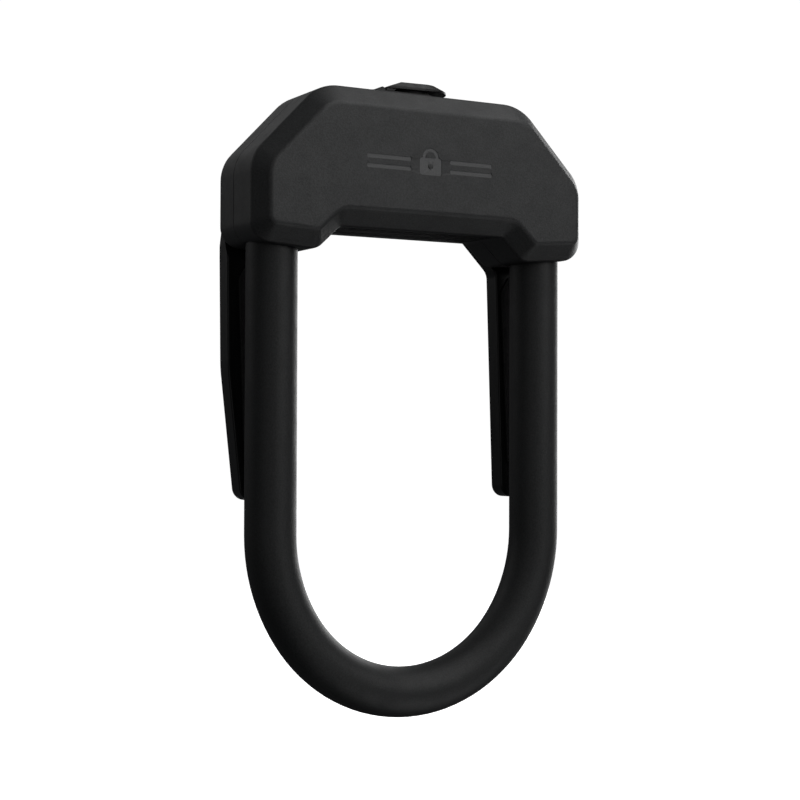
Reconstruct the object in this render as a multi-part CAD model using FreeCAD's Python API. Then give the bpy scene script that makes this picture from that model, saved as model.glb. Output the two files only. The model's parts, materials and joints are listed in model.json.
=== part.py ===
import FreeCAD, Part
import math
import os

# A compact bicycle U lock, modelled closed but unlocked, shackle pointing down.
# Units are millimetres and +Z is up.  The origin is the middle of the crossbar's
# underside, in the plane of the shackle legs; the crossbar's front faces -Y.

V = FreeCAD.Vector
X_AXIS, Y_AXIS, Z_AXIS = V(1, 0, 0), V(0, 1, 0), V(0, 0, 1)
CLEAR = 0.1                       # running clearance between sliding or turning metal parts
THROUGH = 99.0                    # reach of a cutting tool that goes right through

# Shackle
LEG_SPACING = 102.0               # between the leg axes
LEG_X = LEG_SPACING / 2
CORE_R = 7.0                      # hardened steel bar, 14 mm thick
SLEEVE_R = 8.5                    # soft coating over the bar
SLEEVE_TOP_Z = -4.5
BEND_START_Z = -100.5             # the straight legs end here
OUTER_BEND_R = 57.0               # shoulders of the bow
CROWN_BEND_R = 49.5               # bottom of the bow
OUTER_BEND_ANGLE = math.radians(36.87)
LEG_FULL_TOP_Z = 13.3             # top of the full-width leg, under its tapered end
LEG_TIP_Z = 17.3
LEG_TIP_R = 4.6

# Housing covers: right half outlines as (x, z, corner radius), from the recess outwards
END_X = 63.3
UNDERSIDE_Z = 0.0
TOP_Z = 46.1
FACE_CORNERS = [(33.2, 5.6, 8.0), (41.6, -2.2, 1.4), (58.8, -0.9, 2.6), (58.9, 17.5, 8.0),
                (37.7, 39.5, 9.0)]
SIDE_CORNERS = [(31.0, UNDERSIDE_Z, 2.4), (39.6, -8.0, 6.0), (END_X, -6.2, 7.0), (END_X, 20.6, 13.0),
                (38.7, TOP_Z, 16.0)]
FRONT_Y = -16.2                   # the raised face
SIDE_FRONT_Y = -10.1              # where its bevel meets the side walls
SEAM_Y = 3.0                      # between the front and back covers
BACK_Y = 17.0
BACK_EDGE_R = 4.2
FACE_EDGE_R = 2.2
SIDE_EDGE_R = 2.0
WALL = 1.8
SEAM_GROOVE_HALF, SEAM_GROOVE_DEPTH = 0.16, 0.3
LEG_HOLE_R = 8.8
LEG_GUIDE_R = 10.2

# Steel crossbar inside the housing
BAR_HALF_LENGTH = 59.8
BAR_HALF_DEPTH = 9.7
BAR_BOTTOM_Z = 2.0
BAR_PLATE = 3.0                   # floor and lid
BAR_WALL = 2.0                    # long sides
BAR_LID_Z = 19.8
BAR_TOP_Z = BAR_LID_Z + BAR_PLATE
BAR_FLOOR_Z = BAR_BOTTOM_Z + BAR_PLATE
BAR_INNER_Y = BAR_HALF_DEPTH - BAR_WALL

# Bolts and the cam that drives them
BOLT_BOTTOM_Z = BAR_FLOOR_Z + CLEAR
BOLT_HEIGHT = 7.0
BOLT_TOP_Z = BOLT_BOTTOM_Z + BOLT_HEIGHT
BOLT_TIP_X = 43.6
BOLT_HALF_Y = BAR_INNER_Y - CLEAR
BOLT_BODY_X = 7.2                 # inner end of the bolt's full-width block
BOLT_TIP_CHAMFER = 1.2
BOLT_TAIL_Y = 0.3                 # the tails pass each other on both sides of this gap
NOTCH_FLOOR_X = 49.7
NOTCH_GAP = 0.4
CAM_Z = BOLT_TOP_Z + 0.2
CAM_THICKNESS = 2.5
CAM_R = 6.6
CAM_PIN_RADIUS = 4.0              # from the axis to each pin; a quarter turn throws a bolt 5.66
CAM_PIN_R = 1.5
PIN_START_ANGLE = math.radians(45)
SLOT_HALF_WIDTH = 1.7
TANG_SIDE = 3.0
TANG_NECK_R = 2.6

# Lock cylinder, standing on the crossbar's lid
GUARD_R = BAR_HALF_DEPTH
BARREL_R = 7.6
PLUG_R = 6.1
DISC_BORE_R = 5.1
DISC_R = 5.0
RETAINER_Z = 33.0                 # cross pin through the guard and barrel
RETAINER_R = 1.0
RETAINER_START_Y = 6.8
SIDEBAR_WIDTH = 1.2
GATE_DEPTH = 0.9
FALSE_GATE_DEPTH = 0.4
BARREL_BOTTOM_Z = 15.6
BARREL_LIP = 1.4
PLUG_BOTTOM_Z = BARREL_BOTTOM_Z + BARREL_LIP + CLEAR
PLUG_FLOOR = 2.0
STACK_Z = PLUG_BOTTOM_Z + PLUG_FLOOR
DISC_COUNT = 7
DISC_THICKNESS = 2.3
SPACER_THICKNESS = 0.6
STACK_TOP_Z = STACK_Z + DISC_COUNT * DISC_THICKNESS + (DISC_COUNT - 1) * SPACER_THICKNESS
KEYWAY_DISC_THICKNESS = 1.8
RING_Z = STACK_TOP_Z + KEYWAY_DISC_THICKNESS + 0.05
RING_THICKNESS = 0.8
RING_R = PLUG_R + 0.8
RING_INNER_R = 4.9
BARREL_TOP_Z = RING_Z + RING_THICKNESS + 0.4
GUARD_TOP_Z = BARREL_TOP_Z + 0.3
KEYWAY_WIDTH = 2.9
KEYWAY_LENGTH = 7.4
DRILL_PLATE_HALF_X = 14.0
DRILL_PLATE_BOTTOM_Z, DRILL_PLATE_TOP_Z = 24.0, 41.0
DRILL_PLATE_Y = -12.1
RIB_X, RIB_HALF = 10.0, 0.8       # ribs that hold the drill plate off the front wall
RIB_BOTTOM_Z, RIB_TOP_Z = 26.0, 38.0

# Keyhole bezel and dust flap
BEZEL_TOP_Z = TOP_Z + 0.9
BEZEL_CORNERS = [(-18, -6.6, 3), (9.5, -6.6, 5), (9.5, 6.6, 5), (-18, 6.6, 3)]
BEZEL_HOLE_R = 5.6
TOP_HOLE_R = 8.8
HINGE_X = -13.5
HINGE_Z = TOP_Z + 1.1
KNUCKLE_R = 1.05
KNUCKLE_HALF_Y = 3.5
EAR_THICKNESS = 2.6
HINGE_PIN_R = 0.5
HINGE_PIN_HALF_Y = KNUCKLE_HALF_Y + 1.7   # its ends stay inside the ears
CAP_BOTTOM_Z = TOP_Z + 1.9
CAP_TOP_Z = TOP_Z + 4.4
CAP_RIM = 0.7                     # height of the cap's upright rim
CAP_ROOT_X, CAP_ROOT_HALF_Y = HINGE_X + 1.5, 6.6
CAP_ROOT_BOTTOM_Z = BEZEL_TOP_Z + 0.15
CAP_TIP_X, CAP_TIP_HALF_Y = 13.2, 9.4
CAP_TIP_R = 8.2
CAP_TOP_INSET_X, CAP_TOP_INSET_Y = 4.2, 2.0   # the sides lean in by this much at the top
CAP_EDGE_R = 0.8
RAMP_START_X, RAMP_END_X = -17.9, -6.2    # the slope up from the housing to the cap's top

# Belt clips behind the legs
CLIP_OUTER_X = 59.7
CLIP_ROOT_X = 58.2               # outer end of the root and the bracket
CLIP_INNER_X = 45.4
CLIP_SHOULDER_X = 33.5
CLIP_TIP_Z = -89.8
CLIP_ROOT_Z = 8.0                 # the arms flex about this line
CLIP_ROOT_Y = 21.5
CLIP_PLATE_HALF = 1.5
CLIP_FRONT_Y = 16.0
CLIP_FULL_Z = -9.0                # the arm is at its full thickness below this
CLIP_LEAN = 2.5                   # how far the tips lean towards the legs
BRACKET_BACK_Y = 24.4
PAD_INNER_X, PAD_OUTER_X = 47.2, 55.8
PAD_TOP_Z, PAD_SHOULDER_Z, PAD_BOTTOM_Z = -9.4, -16.0, -78.0
PAD_PROUD = 0.8

# Ribbed strip under the crossbar
STRIP_HALF_X, STRIP_HALF_Y = 29.0, 8.6
STRIP_CORNER_R = 2.0
STRIP_THICKNESS = 1.2
SNUG = 0.03                       # gap round a piece that is pressed or glued into a pocket

# Fasteners, as (x, z) places on the back
COVER_SCREWS = [(-46, 28), (-24, 39), (24, 39), (46, 28)]
BRACKET_SCREWS = [(-36, 17), (-16, 17), (16, 17), (36, 17)]
COVER_BOSS_R = 3.4
COVER_HEAD_R, COVER_SHANK_R = 2.7, 1.45
COVER_HEAD_Y = BACK_Y - 2.4
COVER_SCREW_LENGTH = 11.0         # of thread in the front cover's bosses
BRACKET_HEAD_R, BRACKET_SHANK_R = 3.4, 1.95
BRACKET_HEAD_Y = 20.0

# Emblem on the front face: a plain padlock between two pairs of bars
EMBLEM_X, EMBLEM_Z = -0.6, 22.4
EMBLEM_BAR_INNER, EMBLEM_BAR_OUTER = 7.4, 24.0
EMBLEM_DEPTH = 0.35
INLAY_THICKNESS = 0.2


def block(x0, x1, y0, y1, z0, z1):
    """Box between two corners."""
    return Part.makeBox(x1 - x0, y1 - y0, z1 - z0, V(x0, y0, z0))


def rod(x, y, z, radius, length, axis=Z_AXIS):
    """Cylinder from a point along an axis."""
    return Part.makeCylinder(radius, length, V(x, y, z), axis)


def tube(x, y, z, outer_r, inner_r, length, axis=Z_AXIS):
    """Hollow cylinder from a point along an axis."""
    return rod(x, y, z, outer_r, length, axis).cut(rod(x, y, z, inner_r, length, axis))


def fuse(shapes):
    """Union with the leftover seams removed."""
    result = shapes[0]
    for shape in shapes[1:]:
        result = result.fuse(shape)
    return result.removeSplitter()


def cut(shape, tools):
    """Subtract each tool in turn."""
    for tool in tools:
        shape = shape.cut(tool)
    return shape


def mirror_x(shape):
    return shape.mirror(V(0, 0, 0), X_AXIS)


def rounded_outline(corners, place):
    """Closed wire of straight runs joined by tangent arcs.

    corners are (u, v, radius); place turns (u, v) into a point.
    """
    arcs = []
    for i, (u, v, radius) in enumerate(corners):
        here = V(u, v, 0)
        before = V(corners[i - 1][0], corners[i - 1][1], 0)
        following = corners[(i + 1) % len(corners)]
        to_before = (before - here).normalize()
        to_after = (V(following[0], following[1], 0) - here).normalize()
        half = to_before.getAngle(to_after) / 2
        reach = radius / math.tan(half)
        middle = (to_before + to_after).normalize() * (radius / math.sin(half) - radius)
        arcs.append([here + to_before * reach, here + middle, here + to_after * reach])
    edges = []
    for i, (start, middle, end) in enumerate(arcs):
        previous_end = arcs[i - 1][2]
        edges.append(Part.LineSegment(place(previous_end), place(start)).toShape())
        edges.append(Part.Arc(place(start), place(middle), place(end)).toShape())
    return Part.Wire(edges)


def plate_xz(corners, y0, y1):
    """Rounded outline in the XZ plane, extruded from y0 to y1."""
    wire = rounded_outline(corners, lambda p: V(p.x, y0, p.y))
    return Part.Face(wire).extrude(V(0, y1 - y0, 0))


def plate_xy(corners, z0, z1):
    """Rounded outline in the XY plane, extruded from z0 to z1."""
    wire = rounded_outline(corners, lambda p: V(p.x, p.y, z0))
    return Part.Face(wire).extrude(V(0, 0, z1 - z0))


def prism_yz(points, x0, x1):
    """Polygon in the YZ plane, extruded from x0 to x1."""
    wire = Part.makePolygon([V(x0, y, z) for y, z in points + points[:1]])
    return Part.Face(wire).extrude(V(x1 - x0, 0, 0))


def prism_xz(points, y0, y1):
    """Polygon in the XZ plane, extruded from y0 to y1."""
    wire = Part.makePolygon([V(x, y0, z) for x, z in points + points[:1]])
    return Part.Face(wire).extrude(V(0, y1 - y0, 0))


def fillet(shape, radius, wanted):
    """Round the edges for which wanted(edge) is true."""
    edges = [edge for edge in shape.Edges if wanted(edge)]
    return shape.makeFillet(radius, edges)


def lies_at_y(edge, y):
    """True for an edge that lies in the plane y."""
    box = edge.BoundBox
    return abs(box.YMin - y) < 1e-4 and abs(box.YMax - y) < 1e-4


def lies_at_z(edge, z):
    """True for an edge that lies in the plane z."""
    box = edge.BoundBox
    return abs(box.ZMin - z) < 1e-4 and abs(box.ZMax - z) < 1e-4


# ---------------------------------------------------------------- housing

def full_loop(half):
    """Closed loop of corners from the right half of a mirrored outline."""
    return half + [(-x, z, radius) for x, z, radius in reversed(half)]


def moved_outwards(loop, offset):
    """The same outline with every side moved outwards by offset."""
    moved = []
    for i, (x, z, radius) in enumerate(loop):
        here = V(x, z, 0)
        before = V(loop[i - 1][0], loop[i - 1][1], 0)
        following = loop[(i + 1) % len(loop)]
        along_in = (here - before).normalize()
        along_out = (V(following[0], following[1], 0) - here).normalize()
        out_in, out_out = V(along_in.y, -along_in.x, 0), V(along_out.y, -along_out.x, 0)
        corner = here + (out_in + out_out) * (offset / (1 + out_in.dot(out_out)))
        convex = along_in.x * along_out.y - along_in.y * along_out.x > 0
        moved.append((corner.x, corner.y, max(0.4, radius + (offset if convex else -offset))))
    return moved


def section(half, offset, y):
    """Housing outline at depth y, moved outwards by offset."""
    return rounded_outline(moved_outwards(full_loop(half), offset), lambda p: V(p.x, y, p.y))


def seam_groove():
    """Fine groove round the outside, where the two covers meet."""
    y0, y1 = SEAM_Y - SEAM_GROOVE_HALF, SEAM_Y + SEAM_GROOVE_HALF
    outside = Part.Face(section(SIDE_CORNERS, 1, y0)).extrude(V(0, y1 - y0, 0))
    return outside.cut(Part.Face(section(SIDE_CORNERS, -SEAM_GROOVE_DEPTH, y0)).extrude(V(0, y1 - y0, 0)))


def front_body():
    """Outer form of the front cover: raised face, bevel and side walls."""
    wires = [section(FACE_CORNERS, 0, FRONT_Y), section(SIDE_CORNERS, 0, SIDE_FRONT_Y),
             section(SIDE_CORNERS, 0, SEAM_Y)]
    body = Part.makeLoft(wires, True, True)
    body = fillet(body, SIDE_EDGE_R, lambda edge: lies_at_y(edge, SIDE_FRONT_Y))
    return fillet(body, FACE_EDGE_R, lambda edge: lies_at_y(edge, FRONT_Y))


def back_body():
    """Outer form of the back cover: side walls and a rounded back edge."""
    body = Part.Face(section(SIDE_CORNERS, 0, SEAM_Y)).extrude(V(0, BACK_Y - SEAM_Y, 0))
    return fillet(body, BACK_EDGE_R, lambda edge: lies_at_y(edge, BACK_Y))


def front_hollow(wall):
    """Form inside the front cover, about a wall's thickness within its outer form."""
    wires = [section(FACE_CORNERS, -wall / 2, FRONT_Y + wall),
             section(SIDE_CORNERS, -wall, SIDE_FRONT_Y), section(SIDE_CORNERS, -wall, SEAM_Y)]
    return Part.makeLoft(wires, True, True)


def back_cavity():
    """Hollow of the back cover."""
    return Part.Face(section(SIDE_CORNERS, -WALL, SEAM_Y)).extrude(V(0, BACK_Y - WALL - SEAM_Y, 0))


def leg_guides(body):
    """Socket walls round both leg holes, kept inside one cover's outer form."""
    low_z = UNDERSIDE_Z - 9
    guides = [rod(side * LEG_X, 0, low_z, LEG_GUIDE_R, BAR_BOTTOM_Z - low_z) for side in (-1, 1)]
    return [guide.common(body) for guide in guides]


def cover_openings():
    """Leg holes, keyhole, the underside strip's pocket and the seam's groove."""
    holes = [rod(side * LEG_X, 0, -20, LEG_HOLE_R, 20 + BAR_BOTTOM_Z) for side in (-1, 1)]
    holes.append(rod(0, 0, TOP_Z - 2 * WALL, TOP_HOLE_R, 4 * WALL))
    return holes + [underside_pocket(), seam_groove()]


def emblem_shapes(depth):
    """Padlock pictogram and four bars, sunk to a depth behind the raised face."""
    y0, y1 = FRONT_Y, FRONT_Y + depth

    def rounded(x0, x1, z0, z1, radius, front=y0, back=y1):
        corners = [(x0, z0, radius), (x1, z0, radius), (x1, z1, radius), (x0, z1, radius)]
        return plate_xz([(x + EMBLEM_X, z + EMBLEM_Z, r) for x, z, r in corners], front, back)

    body = rounded(-4.2, 4.2, -4.2, 1.6, 1.0).cut(rod(EMBLEM_X, y0, EMBLEM_Z - 1.3, 0.9, 5, Y_AXIS))
    bow = tube(EMBLEM_X, y0, EMBLEM_Z + 1.6, 3.1, 1.9, y1 - y0, Y_AXIS)
    bow = bow.common(block(EMBLEM_X - 4, EMBLEM_X + 4, y0, y1, EMBLEM_Z + 1.6, EMBLEM_Z + 6))
    shapes = [body.fuse(bow).removeSplitter()]
    for side in (-1, 1):
        for z in (-2.6, 0.6):
            near, far = sorted((side * EMBLEM_BAR_INNER, side * EMBLEM_BAR_OUTER))
            shapes.append(rounded(near, far, z - 0.7, z + 0.7, 0.65))
    return shapes


def front_cover():
    """Front shell; its screw bosses and plate ribs end inside the wall."""
    depth = SEAM_Y - FRONT_Y
    inside = [rod(x, SEAM_Y, z, COVER_BOSS_R, depth, -Y_AXIS) for x, z in COVER_SCREWS]
    inside += [block(x - RIB_HALF, x + RIB_HALF, FRONT_Y, DRILL_PLATE_Y, RIB_BOTTOM_Z, RIB_TOP_Z)
               for x in (-RIB_X, RIB_X)]
    mid_wall = front_hollow(WALL / 2)
    inside = [shape.common(mid_wall) for shape in inside]
    solid = fuse([front_body().cut(front_hollow(WALL))] + leg_guides(front_body()) + inside)
    pilots = [rod(x, SEAM_Y + 1, z, COVER_SHANK_R, COVER_SCREW_LENGTH, -Y_AXIS) for x, z in COVER_SCREWS]
    return cut(solid, cover_openings() + pilots + emblem_shapes(EMBLEM_DEPTH))


def back_cover():
    wall_y = BACK_Y - WALL / 2
    bosses = [rod(x, SEAM_Y, z, COVER_BOSS_R, wall_y - SEAM_Y, Y_AXIS) for x, z in COVER_SCREWS]
    spacers = [rod(x, BAR_HALF_DEPTH, z, 4.2, wall_y - BAR_HALF_DEPTH, Y_AXIS) for x, z in BRACKET_SCREWS]
    solid = fuse([back_body().cut(back_cavity())] + leg_guides(back_body()) + bosses + spacers)
    holes = [rod(x, 0, z, COVER_SHANK_R + CLEAR, 20, Y_AXIS) for x, z in COVER_SCREWS]
    holes += [rod(x, COVER_HEAD_Y, z, COVER_HEAD_R + CLEAR, 9, Y_AXIS) for x, z in COVER_SCREWS]
    holes += [rod(x, 0, z, BRACKET_SHANK_R + CLEAR, 20, Y_AXIS) for x, z in BRACKET_SCREWS]
    return cut(solid, cover_openings() + holes)


def strip_plate(grow, low_z):
    """Rounded plate of the strip's outline, grown all round and reaching down to low_z."""
    x, y = STRIP_HALF_X + grow, STRIP_HALF_Y + grow
    corners = [(-x, -y), (x, -y), (x, y), (-x, y)]
    return plate_xy([(u, v, STRIP_CORNER_R) for u, v in corners], low_z, UNDERSIDE_Z + STRIP_THICKNESS)


def underside_pocket():
    """Shallow recess across the covers' underside for the ribbed strip."""
    return strip_plate(SNUG, UNDERSIDE_Z - 1)


def underside_strip():
    """Ribbed rubber strip that protects the tube the lock is closed round."""
    strip = strip_plate(0, UNDERSIDE_Z)
    grooves = [block(-27.5, 27.5, y - 0.6, y + 0.6, UNDERSIDE_Z - 1, UNDERSIDE_Z + STRIP_THICKNESS / 2)
               for y in (-6.6, -3.6, 3.6, 6.6)]
    return cut(strip, grooves)


# ---------------------------------------------------------------- steel crossbar

def crossbar_channel():
    """Floor and long sides of the hardened box."""
    outer = block(-BAR_HALF_LENGTH, BAR_HALF_LENGTH, -BAR_HALF_DEPTH, BAR_HALF_DEPTH,
                  BAR_BOTTOM_Z, BAR_LID_Z)
    inner = block(-THROUGH, THROUGH, -BAR_INNER_Y, BAR_INNER_Y, BAR_FLOOR_Z, THROUGH)
    holes = [rod(side * LEG_X, 0, 0, CORE_R + CLEAR, BAR_FLOOR_Z + 1) for side in (-1, 1)]
    threads = [rod(x, 0, z, BRACKET_SHANK_R + 0.02, THROUGH, Y_AXIS) for x, z in BRACKET_SCREWS]
    return cut(outer, [inner] + holes + threads)


def crossbar_lid():
    """Top plate, its ends sloped to suit the covers, with the cylinder's hole."""
    low, high = BAR_LID_Z, BAR_TOP_Z
    half = BAR_HALF_LENGTH
    profile = [(-half, low), (half, low), (half - BAR_PLATE, high), (BAR_PLATE - half, high)]
    plate = prism_xz(profile, -BAR_HALF_DEPTH, BAR_HALF_DEPTH)
    return plate.cut(rod(0, 0, 0, BARREL_R + CLEAR, THROUGH))


def end_plate():
    """Plate that closes the right end of the box."""
    x0 = LEG_X + CORE_R + CLEAR
    return block(x0, BAR_HALF_LENGTH, -BAR_INNER_Y, BAR_INNER_Y, BAR_FLOOR_Z, BAR_LID_Z)


def cylinder_guard():
    """Hardened sleeve welded on the lid round the lock cylinder."""
    guard = tube(0, 0, BAR_TOP_Z, GUARD_R, BARREL_R + CLEAR, GUARD_TOP_Z - BAR_TOP_Z)
    return guard.cut(rod(0, 0, RETAINER_Z, RETAINER_R, THROUGH, Y_AXIS))


def leg_bush():
    """Rubber bush that grips and seals the right leg."""
    height = BAR_BOTTOM_Z - SLEEVE_TOP_Z - 0.8
    return tube(LEG_X, 0, BAR_BOTTOM_Z - height, LEG_HOLE_R - SNUG, CORE_R + SNUG, height)


# ---------------------------------------------------------------- shackle

def bow_path(top_z):
    """Centre line of the shackle: straight legs, two shoulders and a crown."""
    sin_a, cos_a = math.sin(OUTER_BEND_ANGLE), math.cos(OUTER_BEND_ANGLE)
    half_angle = OUTER_BEND_ANGLE / 2
    shoulder_x = LEG_X - OUTER_BEND_R * (1 - cos_a)
    shoulder_z = BEND_START_Z - OUTER_BEND_R * sin_a
    middle_x = LEG_X - OUTER_BEND_R * (1 - math.cos(half_angle))
    middle_z = BEND_START_Z - OUTER_BEND_R * math.sin(half_angle)
    crown_centre_z = shoulder_z + CROWN_BEND_R * sin_a
    bottom = V(0, 0, crown_centre_z - CROWN_BEND_R)
    edges = [Part.LineSegment(V(-LEG_X, 0, top_z), V(-LEG_X, 0, BEND_START_Z)),
             Part.Arc(V(-LEG_X, 0, BEND_START_Z), V(-middle_x, 0, middle_z), V(-shoulder_x, 0, shoulder_z)),
             Part.Arc(V(-shoulder_x, 0, shoulder_z), bottom, V(shoulder_x, 0, shoulder_z)),
             Part.Arc(V(shoulder_x, 0, shoulder_z), V(middle_x, 0, middle_z), V(LEG_X, 0, BEND_START_Z)),
             Part.LineSegment(V(LEG_X, 0, BEND_START_Z), V(LEG_X, 0, top_z))]
    return Part.Wire([edge.toShape() for edge in edges])


def bow(radius, top_z):
    """Solid round bar along the shackle's centre line."""
    profile = Part.Wire(Part.makeCircle(radius, V(-LEG_X, 0, top_z), Z_AXIS))
    return bow_path(top_z).makePipeShell([profile], True, False)


def shackle_core():
    """Hardened bar inside the coating."""
    return bow(CORE_R, SLEEVE_TOP_Z)


def leg_end():
    """Bare end of the right leg: tapered tip and a notch for the bolt on its inner side."""
    full = rod(LEG_X, 0, SLEEVE_TOP_Z, CORE_R, LEG_FULL_TOP_Z - SLEEVE_TOP_Z)
    tip = Part.makeCone(CORE_R, LEG_TIP_R, LEG_TIP_Z - LEG_FULL_TOP_Z, V(LEG_X, 0, LEG_FULL_TOP_Z), Z_AXIS)
    notch = block(0, NOTCH_FLOOR_X, -CORE_R - 1, CORE_R + 1,
                  BOLT_BOTTOM_Z - NOTCH_GAP, BOLT_TOP_Z + NOTCH_GAP)
    return fuse([full, tip]).cut(notch)


def shackle_sleeve():
    """Soft coating over the part of the bar that stays outside the crossbar."""
    sleeve = bow(SLEEVE_R, SLEEVE_TOP_Z).cut(bow(CORE_R, SLEEVE_TOP_Z + 1))
    return sleeve.cut(bow(CORE_R, SLEEVE_TOP_Z))


# ---------------------------------------------------------------- bolts and cam

def left_bolt():
    """Sliding block with a slotted tail that the cam pin moves."""
    slot_x = CAM_PIN_RADIUS * math.cos(PIN_START_ANGLE)
    near_y, far_y = CAM_PIN_RADIUS * math.sin(PIN_START_ANGLE), CAM_PIN_RADIUS
    tail_x = slot_x + 2 * SLOT_HALF_WIDTH
    body = block(-BOLT_TIP_X, -BOLT_BODY_X, -BOLT_HALF_Y, BOLT_HALF_Y, BOLT_BOTTOM_Z, BOLT_TOP_Z)
    tip_edges = [edge for edge in body.Edges
                 if abs(edge.BoundBox.XMax + BOLT_TIP_X) < 1e-6 and edge.BoundBox.ZLength > 1]
    body = body.makeChamfer(BOLT_TIP_CHAMFER, tip_edges)
    tail = block(-BOLT_BODY_X, tail_x, BOLT_TAIL_Y, BOLT_HALF_Y, BOLT_BOTTOM_Z, BOLT_TOP_Z)
    slot = fuse([rod(slot_x, near_y, 0, SLOT_HALF_WIDTH, 20), rod(slot_x, far_y, 0, SLOT_HALF_WIDTH, 20),
                 block(slot_x - SLOT_HALF_WIDTH, slot_x + SLOT_HALF_WIDTH, near_y, far_y, 0, 20)])
    return fuse([body, tail]).cut(slot)


def right_bolt():
    """The same bolt turned half round the cam's axis."""
    bolt = left_bolt()
    bolt.rotate(V(0, 0, 0), Z_AXIS, 180)
    return bolt


def cam_pin_places():
    """Both drive pins, half a turn apart."""
    for angle in (PIN_START_ANGLE, PIN_START_ANGLE + math.pi):
        yield CAM_PIN_RADIUS * math.cos(angle), CAM_PIN_RADIUS * math.sin(angle)


def tang(side, z0, z1):
    """Square driver, small enough to stay between the two pins."""
    half = side / 2
    return block(-half, half, -half, half, z0, z1)


def cam_plate():
    """Disc under the plug that carries both drive pins."""
    disc = rod(0, 0, CAM_Z, CAM_R, CAM_THICKNESS)
    holes = [rod(x, y, CAM_Z - 1, CAM_PIN_R, 9) for x, y in cam_pin_places()]
    return cut(disc, holes + [tang(TANG_SIDE, CAM_Z - 1, CAM_Z + 9)])


def cam_pins():
    """Hardened pins, pressed into the cam plate and reaching down into the bolts."""
    low = BOLT_BOTTOM_Z + 0.5
    pins = [rod(x, y, low, CAM_PIN_R, CAM_Z + CAM_THICKNESS - low) for x, y in cam_pin_places()]
    return Part.makeCompound(pins)


# ---------------------------------------------------------------- lock cylinder

def sidebar_slot(depth_y, z0, z1):
    """Cutting tool for the sidebar's passage, from outside the plug to a depth."""
    half = SIDEBAR_WIDTH / 2 + 0.05
    return block(-half, half, -PLUG_R - 1, depth_y, z0, z1)


def lock_barrel():
    """Fixed body of the cylinder, with a groove for the sidebar."""
    body = tube(0, 0, BARREL_BOTTOM_Z, BARREL_R, PLUG_R + CLEAR, BARREL_TOP_Z - BARREL_BOTTOM_Z)
    lip = tube(0, 0, BARREL_BOTTOM_Z, PLUG_R + 0.5, 2.8, BARREL_LIP)
    groove = block(-SIDEBAR_WIDTH / 2 - CLEAR, SIDEBAR_WIDTH / 2 + CLEAR, -PLUG_R - 0.9, -PLUG_R + 0.5,
                   STACK_Z, STACK_TOP_Z)
    ring_groove = tube(0, 0, RING_Z, RING_R, PLUG_R, RING_THICKNESS)
    pin_hole = rod(0, RETAINER_START_Y, RETAINER_Z, RETAINER_R, 9, Y_AXIS)
    return cut(fuse([body, lip]), [groove, ring_groove, pin_hole])


def barrel_retaining_pin():
    """Cross pin that locks the cylinder into its guard."""
    return rod(0, RETAINER_START_Y, RETAINER_Z, RETAINER_R, GUARD_R - RETAINER_START_Y, Y_AXIS)


def plug_ring():
    """Retaining ring above the keyway disc."""
    return tube(0, 0, RING_Z, RING_R, RING_INNER_R, RING_THICKNESS)


def plug_carrier():
    """Cup that holds the disc stack; its tang drives the cam plate."""
    cup = rod(0, 0, PLUG_BOTTOM_Z, PLUG_R, STACK_TOP_Z - PLUG_BOTTOM_Z)
    cup = cup.cut(rod(0, 0, STACK_Z, DISC_BORE_R, THROUGH))
    neck = rod(0, 0, CAM_Z + CAM_THICKNESS, TANG_NECK_R, PLUG_BOTTOM_Z - CAM_Z - CAM_THICKNESS)
    drive = tang(TANG_SIDE, CAM_Z, CAM_Z + CAM_THICKNESS)
    return fuse([cup, neck, drive]).cut(sidebar_slot(1 - DISC_BORE_R, STACK_Z, STACK_TOP_Z + 1))


def keyway(width, length, z0, z1):
    """Round-ended slot for a flat key."""
    half, reach = width / 2, length / 2 - width / 2
    ends = [rod(0, y, z0, half, z1 - z0) for y in (-reach, reach)]
    return fuse([block(-half, half, -reach, reach, z0, z1)] + ends)


def disc_z(index):
    return STACK_Z + index * (DISC_THICKNESS + SPACER_THICKNESS)


def detainer_disc(index):
    """Slotted disc with its true gate under the sidebar and one false gate."""
    z = disc_z(index)
    top = z + DISC_THICKNESS + 1
    disc = rod(0, 0, z, DISC_R, DISC_THICKNESS)
    false_gate = block(-0.4, 0.4, -DISC_R - 1, FALSE_GATE_DEPTH - DISC_R, z, top)
    false_gate.rotate(V(0, 0, 0), Z_AXIS, 60 + 35 * index)
    gate = sidebar_slot(GATE_DEPTH - DISC_R, z, top)
    return cut(disc, [gate, false_gate, keyway(KEYWAY_WIDTH, KEYWAY_LENGTH, z - 1, top)])


def disc_spacers():
    """Plain washers between the discs."""
    spacers = []
    for index in range(DISC_COUNT - 1):
        z = disc_z(index) + DISC_THICKNESS
        top = z + SPACER_THICKNESS + 1
        slot = keyway(KEYWAY_WIDTH + 0.5, KEYWAY_LENGTH + 0.4, z - 1, top)
        notch = sidebar_slot(GATE_DEPTH - DISC_R, z, top)
        spacers.append(cut(rod(0, 0, z, DISC_R, SPACER_THICKNESS), [slot, notch]))
    return Part.makeCompound(spacers)


def sidebar():
    """Locking bar, drawn into the aligned gates as it is with the key in."""
    half = SIDEBAR_WIDTH / 2
    return block(-half, half, 0.05 - PLUG_R, GATE_DEPTH - 0.1 - DISC_R, STACK_Z + 0.1, STACK_TOP_Z - 0.1)


def keyway_disc():
    """Hardened front disc that turns with the plug."""
    disc = rod(0, 0, STACK_TOP_Z, PLUG_R, KEYWAY_DISC_THICKNESS)
    return disc.cut(keyway(KEYWAY_WIDTH, KEYWAY_LENGTH, 0, THROUGH))


def drill_plate():
    """Hardened plate in front of the cylinder."""
    return block(-DRILL_PLATE_HALF_X, DRILL_PLATE_HALF_X, DRILL_PLATE_Y, -GUARD_R - CLEAR,
                 DRILL_PLATE_BOTTOM_Z, DRILL_PLATE_TOP_Z)


# ---------------------------------------------------------------- bezel and flap

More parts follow.
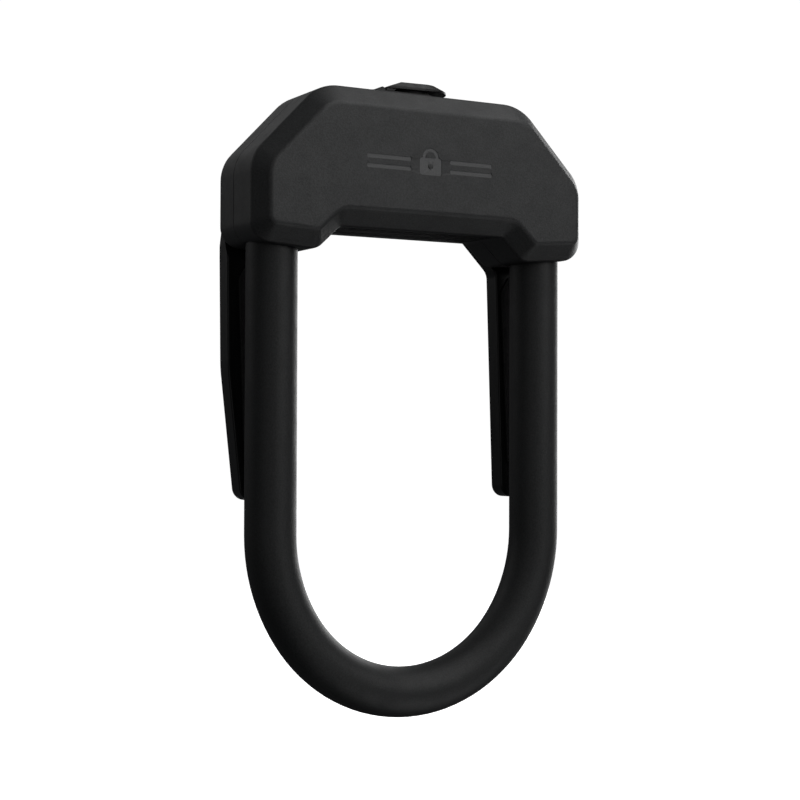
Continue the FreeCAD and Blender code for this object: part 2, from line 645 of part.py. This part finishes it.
def ramp_z(x):
    """Height of the slope that rises from the housing's top to the cap's top."""
    return TOP_Z + (CAP_TOP_Z - TOP_Z) * (x - RAMP_START_X) / (RAMP_END_X - RAMP_START_X)


def keyhole_bezel():
    """Ring round the keyhole, with two sloped ears for the flap's hinge."""
    plate = plate_xy(BEZEL_CORNERS, TOP_Z, BEZEL_TOP_Z)
    boss = rod(0, 0, TOP_Z - WALL, TOP_HOLE_R - 0.05, WALL)
    ears = []
    cheek = [(RAMP_START_X, TOP_Z), (HINGE_X + KNUCKLE_R, TOP_Z), (HINGE_X + KNUCKLE_R, HINGE_Z),
             (HINGE_X - 0.35 * KNUCKLE_R, HINGE_Z + 0.93 * KNUCKLE_R)]
    for y in (-KNUCKLE_HALF_Y - CLEAR - EAR_THICKNESS, KNUCKLE_HALF_Y + CLEAR):
        ears.append(rod(HINGE_X, y, HINGE_Z, KNUCKLE_R, EAR_THICKNESS, Y_AXIS))
        ears.append(prism_xz(cheek, y, y + EAR_THICKNESS))
    half = KNUCKLE_HALF_Y + CLEAR
    pocket = block(HINGE_X - 2.6, HINGE_X + 3.6, -half, half, TOP_Z, THROUGH)
    hole = rod(0, 0, 0, BEZEL_HOLE_R, THROUGH)
    return cut(fuse([plate, boss] + ears), [pocket, hole, flap_hinge_pin()])


def flap_hinge_pin():
    return rod(HINGE_X, -HINGE_PIN_HALF_Y, HINGE_Z, HINGE_PIN_R, 2 * HINGE_PIN_HALF_Y, Y_AXIS)


def cap_outline(inset_x, inset_y, z):
    """Plan of the cap at a height, before its root is trimmed square."""
    root_y, tip_y = CAP_ROOT_HALF_Y - inset_y / 2, CAP_TIP_HALF_Y - inset_y
    tip_x, tip_r = CAP_TIP_X - inset_x, CAP_TIP_R - inset_y
    tail_x = CAP_ROOT_X - 3
    corners = [(tail_x, -root_y, 1.2), (tip_x, -tip_y, tip_r), (tip_x, tip_y, tip_r),
               (tail_x, root_y, 1.2)]
    return rounded_outline(corners, lambda p: V(p.x, p.y, z))


def dust_flap():
    """Cap over the keyhole: a rim, leaning sides and a ramp down to its hinge."""
    cap = Part.makeLoft([cap_outline(0, 0, CAP_BOTTOM_Z), cap_outline(0, 0, CAP_BOTTOM_Z + CAP_RIM),
                         cap_outline(CAP_TOP_INSET_X, CAP_TOP_INSET_Y, CAP_TOP_Z)], True, True)
    cap = fillet(cap, CAP_EDGE_R, lambda edge: lies_at_z(edge, CAP_TOP_Z))
    trimmed = [(-THROUGH, TOP_Z), (CAP_ROOT_X, TOP_Z), (CAP_ROOT_X, ramp_z(CAP_ROOT_X)),
               (RAMP_END_X, CAP_TOP_Z), (RAMP_END_X, THROUGH), (-THROUGH, THROUGH)]
    cap = cap.cut(prism_xz(trimmed, -THROUGH, THROUGH))
    overlap_z = CAP_BOTTOM_Z + 0.15
    root = [(CAP_ROOT_X, CAP_ROOT_BOTTOM_Z), (-9.2, CAP_ROOT_BOTTOM_Z), (-8.2, overlap_z),
            (CAP_ROOT_X, overlap_z)]
    arm = [(HINGE_X, HINGE_Z + KNUCKLE_R), (HINGE_X, HINGE_Z - KNUCKLE_R + 0.2),
           (CAP_ROOT_X + 0.5, CAP_ROOT_BOTTOM_Z), (CAP_ROOT_X + 0.5, ramp_z(CAP_ROOT_X))]
    half = KNUCKLE_HALF_Y
    pieces = [cap, prism_xz(root, -CAP_ROOT_HALF_Y, CAP_ROOT_HALF_Y), prism_xz(arm, -half, half),
              rod(HINGE_X, -half, HINGE_Z, KNUCKLE_R, 2 * half, Y_AXIS)]
    return fuse(pieces).cut(rod(HINGE_X, -THROUGH, HINGE_Z, HINGE_PIN_R + 0.05, 2 * THROUGH, Y_AXIS))


def flap_seal():
    """Rubber ring under the cap that closes the keyhole."""
    return rod(0, 0, BEZEL_TOP_Z + 0.05, BEZEL_HOLE_R + 1.2, CAP_BOTTOM_Z - BEZEL_TOP_Z - 0.05)


# ---------------------------------------------------------------- belt clips

def clip_lean(z):
    """How far the arm has leaned towards the leg at a height."""
    return CLIP_LEAN * (CLIP_FULL_Z - z) / (CLIP_FULL_Z - CLIP_TIP_Z)


def clip_profile():
    """Side view of an arm as (y, z) points, leaning towards the leg below the crossbar."""
    root_front, back = CLIP_ROOT_Y - CLIP_PLATE_HALF, CLIP_ROOT_Y + CLIP_PLATE_HALF
    end_z = CLIP_TIP_Z - 1
    lean = clip_lean(end_z)
    return [(root_front, CLIP_ROOT_Z), (root_front, 0.5), (CLIP_FRONT_Y, CLIP_FULL_Z),
            (CLIP_FRONT_Y - lean, end_z), (back - lean, end_z), (back, CLIP_FULL_Z), (back, CLIP_ROOT_Z)]


def clip_arm():
    """Right arm: a sprung blade with a slanted shoulder and a rounded tip."""
    outline = [(CLIP_SHOULDER_X, 2.9, 2.0), (CLIP_INNER_X, -9.2, 5.0),
               (CLIP_INNER_X + 1.1, CLIP_TIP_Z, 4.3),
               (55.4, CLIP_TIP_Z, 4.3), (CLIP_OUTER_X, -46, 60), (CLIP_OUTER_X, -5.0, 8.0),
               (CLIP_ROOT_X, CLIP_ROOT_Z, 0.3), (CLIP_SHOULDER_X, CLIP_ROOT_Z, 0.3)]
    blade = plate_xz(outline, 5, 30)
    arm = blade.common(prism_yz(clip_profile(), 0, THROUGH))
    arm = fillet(arm, 0.7, lambda edge: edge.BoundBox.ZMax < CLIP_FULL_Z + 0.01 and
                 edge.BoundBox.YLength < 5 and edge.BoundBox.ZLength > 0.01)
    width = CLIP_ROOT_X - CLIP_SHOULDER_X
    knuckle = rod(CLIP_SHOULDER_X, CLIP_ROOT_Y, CLIP_ROOT_Z, CLIP_PLATE_HALF, width, X_AXIS)
    return fuse([arm, knuckle]).cut(clip_pad())


def clip_pad():
    """Rubber grip set into the right arm's front face."""
    inner, outer = PAD_INNER_X, PAD_OUTER_X
    taper = 1.6
    outline = [(inner + taper, PAD_BOTTOM_Z, 2.0), (outer - taper, PAD_BOTTOM_Z, 2.0),
               (outer, PAD_SHOULDER_Z, 6.0), ((inner + outer) / 2, PAD_TOP_Z, 1.5),
               (inner, PAD_SHOULDER_Z, 6.0)]
    blade = plate_xz(outline, 5, 30)
    front, back = CLIP_FRONT_Y - PAD_PROUD, CLIP_FRONT_Y + PAD_PROUD
    band = [(front, CLIP_FULL_Z), (front - CLIP_LEAN, CLIP_TIP_Z), (back - CLIP_LEAN, CLIP_TIP_Z),
            (back, CLIP_FULL_Z)]
    return blade.common(prism_yz(band, 0, THROUGH))


def clip_bracket():
    """Wedge on the back cover that carries both arms."""
    half = CLIP_ROOT_X + 0.3
    right = [(half, CLIP_ROOT_Z, 0.5), (half, 13, 3), (44, 24, 6), (36, 35, 3)]
    outline = right + [(-x, z, radius) for x, z, radius in reversed(right)]
    blade = plate_xz(outline, 5, 30)
    side = [(BACK_Y, CLIP_ROOT_Z), (BRACKET_BACK_Y, CLIP_ROOT_Z), (BRACKET_BACK_Y, 13.5), (19.2, 36),
            (BACK_Y, 36)]
    wedge = blade.common(prism_yz(side, -THROUGH, THROUGH))
    wedge = fillet(wedge, 1.0, lambda edge: edge.BoundBox.YMin > BACK_Y + 1 and
                   edge.BoundBox.ZMax > CLIP_ROOT_Z + 1)
    width = CLIP_ROOT_X - CLIP_SHOULDER_X + 1
    sockets = [rod(x, CLIP_ROOT_Y, CLIP_ROOT_Z, CLIP_PLATE_HALF + CLEAR, width, X_AXIS)
               for x in (CLIP_SHOULDER_X - 0.5, -CLIP_ROOT_X - 0.5)]
    heads = [rod(x, BRACKET_HEAD_Y, z, BRACKET_HEAD_R + 0.2, 20, Y_AXIS) for x, z in BRACKET_SCREWS]
    shanks = [rod(x, 5, z, BRACKET_SHANK_R + CLEAR, 20, Y_AXIS) for x, z in BRACKET_SCREWS]
    return cut(wedge, sockets + heads + shanks)


# ---------------------------------------------------------------- fasteners

def socket_screw(x, z, head_y, head_r, head_height, shank_r, tip_y):
    """Cap screw along Y, driven from the back, with a hexagon socket."""
    head = rod(x, head_y, z, head_r, head_height, Y_AXIS)
    shank = rod(x, tip_y, z, shank_r, head_y - tip_y, Y_AXIS)
    across = head_r * 0.55
    points = [V(x + across * math.cos(math.radians(60 * k)), head_y + head_height / 3,
                z + across * math.sin(math.radians(60 * k))) for k in range(7)]
    hexagon = Part.Face(Part.makePolygon(points)).extrude(V(0, head_height, 0))
    return fuse([head, shank]).cut(hexagon)


def cover_screws():
    tip_y = SEAM_Y + 1.5 - COVER_SCREW_LENGTH
    screws = [socket_screw(x, z, COVER_HEAD_Y, COVER_HEAD_R, 2.0, COVER_SHANK_R - 0.02, tip_y)
              for x, z in COVER_SCREWS]
    return Part.makeCompound(screws)


def bracket_screws():
    screws = [socket_screw(x, z, BRACKET_HEAD_Y, BRACKET_HEAD_R, 2.6, BRACKET_SHANK_R, BAR_INNER_Y)
              for x, z in BRACKET_SCREWS]
    return Part.makeCompound(screws)


def emblem_inlay():
    """Paler inlay lying in the bottom of the sunk emblem."""
    solids = emblem_shapes(INLAY_THICKNESS)
    for solid in solids:
        solid.translate(V(0, EMBLEM_DEPTH - INLAY_THICKNESS, 0))
    return Part.makeCompound(solids)


PARTS = {
    "front_cover": front_cover, "back_cover": back_cover, "underside_strip": underside_strip,
    "emblem_inlay": emblem_inlay, "cover_screws": cover_screws,
    "crossbar_channel": crossbar_channel, "crossbar_lid": crossbar_lid,
    "right_end_plate": end_plate, "left_end_plate": lambda: mirror_x(end_plate()),
    "right_leg_bush": leg_bush, "left_leg_bush": lambda: mirror_x(leg_bush()),
    "cylinder_guard": cylinder_guard, "drill_plate": drill_plate,
    "lock_barrel": lock_barrel, "barrel_retaining_pin": barrel_retaining_pin, "plug_ring": plug_ring,
    "plug_carrier": plug_carrier, "keyway_disc": keyway_disc, "sidebar": sidebar,
    "disc_spacers": disc_spacers, "cam_plate": cam_plate, "cam_pins": cam_pins,
    "left_bolt": left_bolt, "right_bolt": right_bolt,
    "shackle_core": shackle_core, "shackle_sleeve": shackle_sleeve,
    "right_leg_end": leg_end, "left_leg_end": lambda: mirror_x(leg_end()),
    "keyhole_bezel": keyhole_bezel, "flap_hinge_pin": flap_hinge_pin,
    "dust_flap": dust_flap, "flap_seal": flap_seal,
    "clip_bracket": clip_bracket, "bracket_screws": bracket_screws,
    "right_clip_arm": clip_arm, "left_clip_arm": lambda: mirror_x(clip_arm()),
    "right_clip_pad": clip_pad, "left_clip_pad": lambda: mirror_x(clip_pad()),
}

os.makedirs("parts", exist_ok=True)
for name, make in PARTS.items():
    shape = make()
    print(f"{name:22s} solids {len(shape.Solids)} valid {shape.isValid()} volume {shape.Volume:9.1f}")
    shape.exportStep(f"parts/{name}.step")
for index in range(DISC_COUNT):
    detainer_disc(index).exportStep(f"parts/detainer_disc_{index + 1}.step")
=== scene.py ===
import json
import math

import bpy
from mathutils import Matrix, Vector


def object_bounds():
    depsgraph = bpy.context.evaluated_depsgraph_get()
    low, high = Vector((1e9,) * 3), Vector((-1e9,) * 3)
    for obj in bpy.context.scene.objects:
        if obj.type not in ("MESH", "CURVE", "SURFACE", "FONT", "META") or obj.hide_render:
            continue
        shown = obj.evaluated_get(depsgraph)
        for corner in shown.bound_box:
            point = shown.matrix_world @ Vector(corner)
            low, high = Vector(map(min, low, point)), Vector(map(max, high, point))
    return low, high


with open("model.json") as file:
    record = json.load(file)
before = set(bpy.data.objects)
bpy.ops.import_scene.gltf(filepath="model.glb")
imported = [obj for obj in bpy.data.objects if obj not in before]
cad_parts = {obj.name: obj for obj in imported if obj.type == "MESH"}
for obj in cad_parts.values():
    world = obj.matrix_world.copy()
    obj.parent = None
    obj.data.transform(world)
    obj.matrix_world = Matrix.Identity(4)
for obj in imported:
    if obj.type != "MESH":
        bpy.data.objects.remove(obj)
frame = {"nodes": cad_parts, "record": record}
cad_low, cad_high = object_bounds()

MM = 0.001
NODES = frame["nodes"]

# Viewpoint, in metres and degrees: in front of the lock, to its left and lower than the crossbar
CAMERA_PLACE = Vector((-0.290996, -0.514524, -0.069470))
CAMERA_YAW, CAMERA_PITCH, CAMERA_ROLL = 29.24, 1.30, 0.20
CAMERA_LENS, CAMERA_SENSOR = 78.49, 36.0

CLIP_NEAR, CLIP_FAR = 0.01, 20.0

FLOOR_DROP = 0.062               # below the bow, so that the pulled-out shackle stays clear of it
FLOOR_HALF = 3.0
FLOOR_GLOW = 0.96                # with the light that falls on it, just white
BACKDROP_RADIUS = 4.0
BACKDROP_GLOW = 1.02
STAGE_ROUGHNESS = 0.9

EDGE_ROUND = 0.12 * MM           # softening of the moulded and machined edges
EDGE_ANGLE = math.radians(38)
WELD_DISTANCE = 1e-6
FACE_AREA_WEIGHT = 90            # large flat faces rule the shading normals

# Dot product of the bevelled and the true normal, on an edge and on a flat
EDGE_DOT, FLAT_DOT = 0.86, 0.995
EDGE_SAMPLES = 4
CELL_SMOOTHNESS = 0.6

# Soft boxes: direction from the lock, distance and size in metres, power in watts
LIGHTS = {
    "key": ((0.5, -0.95, 0.55), 1.3, (0.9, 0.9), 6.6),
    "top": ((0.35, -0.3, 1.0), 1.0, (1.0, 0.5), 3.6),
    "rim": ((1.0, 0.35, 0.1), 1.0, (0.5, 1.0), 2.4),
    "left": ((-0.8, 0.7, 0.5), 1.0, (0.5, 0.7), 0.85),
    "back": ((1.1, 0.8, 0.2), 1.2, (0.6, 0.6), 4.5),
    "high back": ((0.0, 0.9, 0.6), 1.2, (0.7, 0.4), 0.45),
    "fill": ((-0.7, -0.8, 0.1), 1.3, (0.8, 0.8), 0.9),
    "bounce": ((0.6, -0.7, -1.0), 1.0, (0.8, 0.8), 2.5),
}
SURROUND_COLOR = (0.95, 0.97, 1.0, 1)
SURROUND_STRENGTH = 0.06


# ---------------------------------------------------------------- materials

class Finish:
    """A Principled material with short ways to add the nodes that all finishes share."""

    def __init__(self, name, color, metallic=0.0, specular=0.5):
        self.material = bpy.data.materials.new(name)
        self.material.use_nodes = True
        self.tree = self.material.node_tree
        self.shader = self.tree.nodes["Principled BSDF"]
        self.color = color
        self.coordinates = self.tree.nodes.new("ShaderNodeTexCoord").outputs["Object"]
        self.normal = None
        self.set("Base Color", (*color, 1))
        self.set("Metallic", metallic)
        self.set("Specular IOR Level", specular)

    def set(self, socket, value):
        self.shader.inputs[socket].default_value = value

    def link(self, output, socket):
        self.tree.links.new(output, socket)

    def stretched(self, scale):
        """Object coordinates stretched along an axis, for brushed or drawn surfaces."""
        node = self.tree.nodes.new("ShaderNodeMapping")
        node.inputs["Scale"].default_value = scale
        self.link(self.coordinates, node.inputs["Vector"])
        return node.outputs["Vector"]

    def noise(self, feature, detail=2.0, vector=None, rough=0.55):
        """Noise whose features are about this many millimetres across."""
        node = self.tree.nodes.new("ShaderNodeTexNoise")
        node.inputs["Scale"].default_value = 1 / (feature * MM)
        node.inputs["Detail"].default_value = detail
        node.inputs["Roughness"].default_value = rough
        self.link(vector or self.coordinates, node.inputs["Vector"])
        return node.outputs["Fac"]

    def cells(self, feature):
        """Distance within rounded cells, like the grain of a spark-eroded mould."""
        node = self.tree.nodes.new("ShaderNodeTexVoronoi")
        node.feature = "SMOOTH_F1"
        node.inputs["Scale"].default_value = 1 / (feature * MM)
        node.inputs["Smoothness"].default_value = CELL_SMOOTHNESS
        self.link(self.coordinates, node.inputs["Vector"])
        return node.outputs["Distance"]

    def spread(self, factor, low, high, start=0.3, end=0.7):
        """Factor from start to end mapped on to low to high."""
        node = self.tree.nodes.new("ShaderNodeMapRange")
        ranges = {"From Min": start, "From Max": end, "To Min": low, "To Max": high}
        for socket, value in ranges.items():
            node.inputs[socket].default_value = value
        self.link(factor, node.inputs["Value"])
        return node.outputs["Result"]

    def math(self, operation, a, b):
        node = self.tree.nodes.new("ShaderNodeMath")
        node.operation = operation
        for value, socket in ((a, node.inputs[0]), (b, node.inputs[1])):
            if isinstance(value, (int, float)):
                socket.default_value = value
            else:
                self.link(value, socket)
        return node.outputs[0]

    def vary_color(self, factor, darker, lighter):
        """Base colour multiplied by a factor that runs from darker to lighter."""
        first, second = ([channel * scale for channel in self.color] for scale in (darker, lighter))
        self.tint(self.spread(factor, 0, 1), first, second)

    def tint(self, factor, first, second):
        """Base colour mixed from first to second, where None stands for the colour there already."""
        node = self.tree.nodes.new("ShaderNodeMix")
        node.data_type = "RGBA"
        sockets = [s for s in node.inputs if s.type == "RGBA"]
        base = self.shader.inputs["Base Color"]
        if first is None:
            self.link(base.links[0].from_socket, sockets[0])
        else:
            sockets[0].default_value = (*first, 1)
        sockets[1].default_value = (*second, 1)
        self.link(factor, node.inputs[0])
        self.link(next(s for s in node.outputs if s.type == "RGBA"), base)

    def vary_roughness(self, factor, low, high):
        self.link(self.spread(factor, low, high), self.shader.inputs["Roughness"])

    def bump(self, height, depth, strength=1.0):
        """Relief of this depth in millimetres, on top of any relief added before."""
        node = self.tree.nodes.new("ShaderNodeBump")
        node.inputs["Distance"].default_value = depth * MM
        node.inputs["Strength"].default_value = strength
        self.link(height, node.inputs["Height"])
        if self.normal:
            self.link(self.normal, node.inputs["Normal"])
        self.normal = node.outputs["Normal"]
        self.link(self.normal, self.shader.inputs["Normal"])

    def edges(self, radius):
        """Mask that is 1 on edges and 0 on flats."""
        soft = self.tree.nodes.new("ShaderNodeBevel")
        soft.samples = EDGE_SAMPLES
        soft.inputs["Radius"].default_value = radius * MM
        true = self.tree.nodes.new("ShaderNodeNewGeometry")
        dot = self.tree.nodes.new("ShaderNodeVectorMath")
        dot.operation = "DOT_PRODUCT"
        self.link(soft.outputs["Normal"], dot.inputs[0])
        self.link(true.outputs["Normal"], dot.inputs[1])
        return self.spread(dot.outputs["Value"], 1, 0, EDGE_DOT, FLAT_DOT)


def soft_touch_plastic():
    """Fine spark-eroded grain on matte black moulded plastic."""
    finish = Finish("soft_touch_plastic", (0.0165, 0.0172, 0.0177), specular=0.42)
    grain = finish.noise(0.5, 2.0, rough=0.7)
    finish.vary_color(grain, 0.55, 1.45)
    finish.vary_roughness(finish.noise(6.0, 2.0), 0.52, 0.58)
    edges = finish.edges(0.5)
    wear = finish.math("MULTIPLY", edges, finish.spread(finish.noise(1.6, 3.0), 0, 0.35))
    finish.tint(wear, None, (0.05, 0.05, 0.05))
    finish.bump(grain, 0.035)
    finish.bump(finish.noise(0.22, 1.0), 0.01)
    return finish.material


def shackle_coating():
    """Dipped vinyl coating: matte and slightly uneven, with the grain of the covers."""
    finish = Finish("shackle_coating", (0.0125, 0.013, 0.0134), specular=0.34)
    grain = finish.noise(0.5, 2.0, rough=0.7)
    finish.vary_color(grain, 0.6, 1.4)
    finish.vary_roughness(finish.noise(7.0, 3.0), 0.52, 0.6)
    finish.bump(grain, 0.028)
    finish.bump(finish.noise(11.0, 2.0), 0.04, 0.5)
    return finish.material


def clip_nylon():
    """Smooth satin nylon with faint flow marks and a painted highlight along its edges."""
    finish = Finish("clip_nylon", (0.0065, 0.0066, 0.0069), specular=0.22)
    flow = finish.noise(2.2, 3.0, finish.stretched((1.0, 1.0, 0.15)))
    finish.vary_color(flow, 0.8, 1.2)
    finish.vary_roughness(flow, 0.3, 0.42)
    # Painted highlight: every edge tinted paler, standing in for the thin bright edge highlights
    finish.tint(finish.math("MULTIPLY", finish.edges(0.4), 0.3), None, (0.03, 0.03, 0.031))
    finish.bump(finish.noise(0.25, 2.0), 0.004)
    return finish.material


def flap_rubber():
    """Moulded rubber with a soft sheen."""
    finish = Finish("flap_rubber", (0.005, 0.0051, 0.0053), specular=0.25)
    finish.vary_color(finish.noise(0.8, 3.0), 0.8, 1.25)
    finish.vary_roughness(finish.noise(2.5, 2.0), 0.36, 0.5)
    finish.bump(finish.noise(0.3, 2.0), 0.008)
    return finish.material


def rubber():
    """Dull rubber with a blotchy dusty tone, a coarse grain and a painted highlight along its edges.
    """
    finish = Finish("rubber", (0.012, 0.012, 0.0125), specular=0.3)
    finish.vary_color(finish.noise(3.0, 5.0), 0.75, 1.3)
    finish.vary_roughness(finish.noise(1.2, 3.0), 0.7, 0.86)
    # Painted highlight: edges tinted paler, standing in for the bright rim on the pad edges
    finish.tint(finish.math("MULTIPLY", finish.edges(0.4), 0.5), None, (0.06, 0.06, 0.06))
    finish.bump(finish.cells(0.5), 0.03)
    return finish.material


def emblem_grey():
    """Dull grey pad print with a slightly uneven coat."""
    finish = Finish("emblem_grey", (0.085, 0.086, 0.087), specular=0.35)
    finish.vary_color(finish.noise(0.4, 3.0), 0.88, 1.12)
    finish.vary_roughness(finish.noise(0.8, 2.0), 0.52, 0.66)
    finish.bump(finish.noise(0.3, 2.0), 0.006)
    return finish.material


def steel(name, color, roughness, feature, scratches):
    """Machined steel: drawn grain, fine scratches and brighter edges."""
    finish = Finish(name, color, metallic=1.0)
    drawn = finish.noise(feature, 4.0, finish.stretched((1.0, 1.0, 0.08)))
    finish.vary_color(drawn, 0.82, 1.12)
    finish.vary_roughness(finish.noise(2.0, 3.0), roughness - 0.08, roughness + 0.1)
    brighter = [min(1, channel * 1.5) for channel in color]
    finish.tint(finish.math("MULTIPLY", finish.edges(0.25), 0.5), None, brighter)
    finish.bump(drawn, scratches)
    return finish.material


def brass():
    """Turned brass with a trace of tarnish."""
    finish = Finish("brass", (0.72, 0.53, 0.25), metallic=1.0)
    finish.vary_color(finish.noise(2.5, 5.0), 0.7, 1.08)
    finish.vary_roughness(finish.noise(1.0, 3.0), 0.24, 0.42)
    finish.bump(finish.noise(0.5, 3.0, finish.stretched((0.1, 0.1, 3.0))), 0.006)
    return finish.material


def black_steel():
    """Blackened screw steel, rubbed brighter along its edges."""
    finish = Finish("black_steel", (0.03, 0.03, 0.031), metallic=0.85)
    finish.vary_color(finish.noise(0.6, 4.0), 0.7, 1.3)
    finish.vary_roughness(finish.noise(0.9, 3.0), 0.3, 0.46)
    finish.tint(finish.math("MULTIPLY", finish.edges(0.2), 0.7), None, (0.22, 0.22, 0.22))
    finish.bump(finish.noise(0.3, 3.0), 0.005)
    return finish.material


MATERIALS = {
    "soft_touch_plastic": soft_touch_plastic(),
    "shackle_coating": shackle_coating(),
    "clip_nylon": clip_nylon(),
    "flap_rubber": flap_rubber(),
    "rubber": rubber(),
    "emblem_grey": emblem_grey(),
    "hardened_steel": steel("hardened_steel", (0.32, 0.32, 0.33), 0.42, 0.5, 0.008),
    "bright_steel": steel("bright_steel", (0.6, 0.6, 0.6), 0.24, 0.3, 0.004),
    "black_steel": black_steel(),
    "brass": brass(),
}


# ---------------------------------------------------------------- carried-over nodes

def smooth_normals(piece):
    """Smooth shading that keeps flats flat: weld points, round sharp edges, weight by area."""
    for polygon in piece.data.polygons:
        polygon.use_smooth = True
    weld = piece.modifiers.new("weld", "WELD")
    weld.merge_threshold = WELD_DISTANCE
    bevel = piece.modifiers.new("edges", "BEVEL")
    bevel.width = EDGE_ROUND
    bevel.segments = 2
    bevel.limit_method = "ANGLE"
    bevel.angle_limit = EDGE_ANGLE
    bevel.use_clamp_overlap = True
    bevel.harden_normals = False
    weighted = piece.modifiers.new("normals", "WEIGHTED_NORMAL")
    weighted.keep_sharp = True
    weighted.weight = FACE_AREA_WEIGHT


def dress_nodes():
    """Give every CAD node its finish and smooth normals."""
    slots = {part["node"]: part["material_slot"] for part in frame["record"]["subparts"]}
    for name, piece in NODES.items():
        piece.data.materials.clear()
        piece.data.materials.append(MATERIALS[slots[name]])
        smooth_normals(piece)


# ---------------------------------------------------------------- stage, lights and camera

def stage_material(name, color, glow):
    """Plain pale surface with a little light of its own."""
    finish = Finish(name, color, specular=0.1)
    finish.set("Roughness", STAGE_ROUGHNESS)
    finish.vary_color(finish.noise(60.0), 0.99, 1.0)
    finish.set("Emission Color", (1, 1, 1, 1))
    finish.set("Emission Strength", glow)
    return finish.material


def make_stage():
    """Pale floor under the bow and a white backdrop all round, neither of which lights the lock."""
    bpy.ops.mesh.primitive_plane_add(size=2 * FLOOR_HALF, location=(0, 0, cad_low.z - FLOOR_DROP))
    floor = bpy.context.object
    floor.name = "floor"
    floor.data.materials.append(stage_material("floor", (0.9, 0.9, 0.9), FLOOR_GLOW))
    bpy.ops.mesh.primitive_uv_sphere_add(segments=64, ring_count=32, radius=BACKDROP_RADIUS)
    backdrop = bpy.context.object
    backdrop.name = "backdrop"
    backdrop.data.materials.append(stage_material("backdrop", (0, 0, 0), BACKDROP_GLOW))
    for piece in (floor, backdrop):
        piece.visible_diffuse = False
        piece.visible_glossy = False
    backdrop.visible_shadow = False


def area_light(name, direction, distance, size, power, target):
    """Soft box that shines on the target from a direction."""
    data = bpy.data.lights.new(name, "AREA")
    data.shape = "RECTANGLE"
    data.size, data.size_y = size
    data.energy = power
    light = bpy.data.objects.new(name, data)
    towards = Vector(direction).normalized()
    light.location = target + towards * distance
    light.rotation_mode = "QUATERNION"
    light.rotation_quaternion = towards.to_track_quat("Z", "Y")
    light.visible_camera = False
    bpy.context.collection.objects.link(light)


def make_lights():
    """Soft boxes all round the lock, strongest from the front right, and a dim surround."""
    target = (cad_low + cad_high) / 2
    for name, (direction, distance, size, power) in LIGHTS.items():
        area_light(name, direction, distance, size, power, target)
    world = bpy.data.worlds.new("surround")
    world.use_nodes = True
    background = world.node_tree.nodes["Background"]
    background.inputs["Color"].default_value = SURROUND_COLOR
    background.inputs["Strength"].default_value = SURROUND_STRENGTH
    bpy.context.scene.world = world


def make_camera():
    """Camera at the viewpoint, turned by yaw from +Y, tipped up by pitch, then rolled."""
    data = bpy.data.cameras.new("camera")
    data.lens = CAMERA_LENS
    data.sensor_width = CAMERA_SENSOR
    data.clip_start, data.clip_end = CLIP_NEAR, CLIP_FAR
    camera = bpy.data.objects.new("camera", data)
    yaw, pitch, roll = (math.radians(a) for a in (CAMERA_YAW, CAMERA_PITCH, CAMERA_ROLL))
    ahead = Vector((math.sin(yaw), math.cos(yaw), 0))
    forward = ahead * math.cos(pitch) + Vector((0, 0, math.sin(pitch)))
    level = Vector((math.cos(yaw), -math.sin(yaw), 0))
    upright = level.cross(forward)
    right = level * math.cos(roll) + upright * math.sin(roll)
    up = upright * math.cos(roll) - level * math.sin(roll)
    facing = Matrix((right, up, -forward)).transposed().to_4x4()
    camera.matrix_world = Matrix.Translation(CAMERA_PLACE) @ facing
    bpy.context.collection.objects.link(camera)
    bpy.context.scene.camera = camera


dress_nodes()
make_stage()
make_lights()
make_camera()
bpy.context.scene.view_settings.view_transform = "Standard"
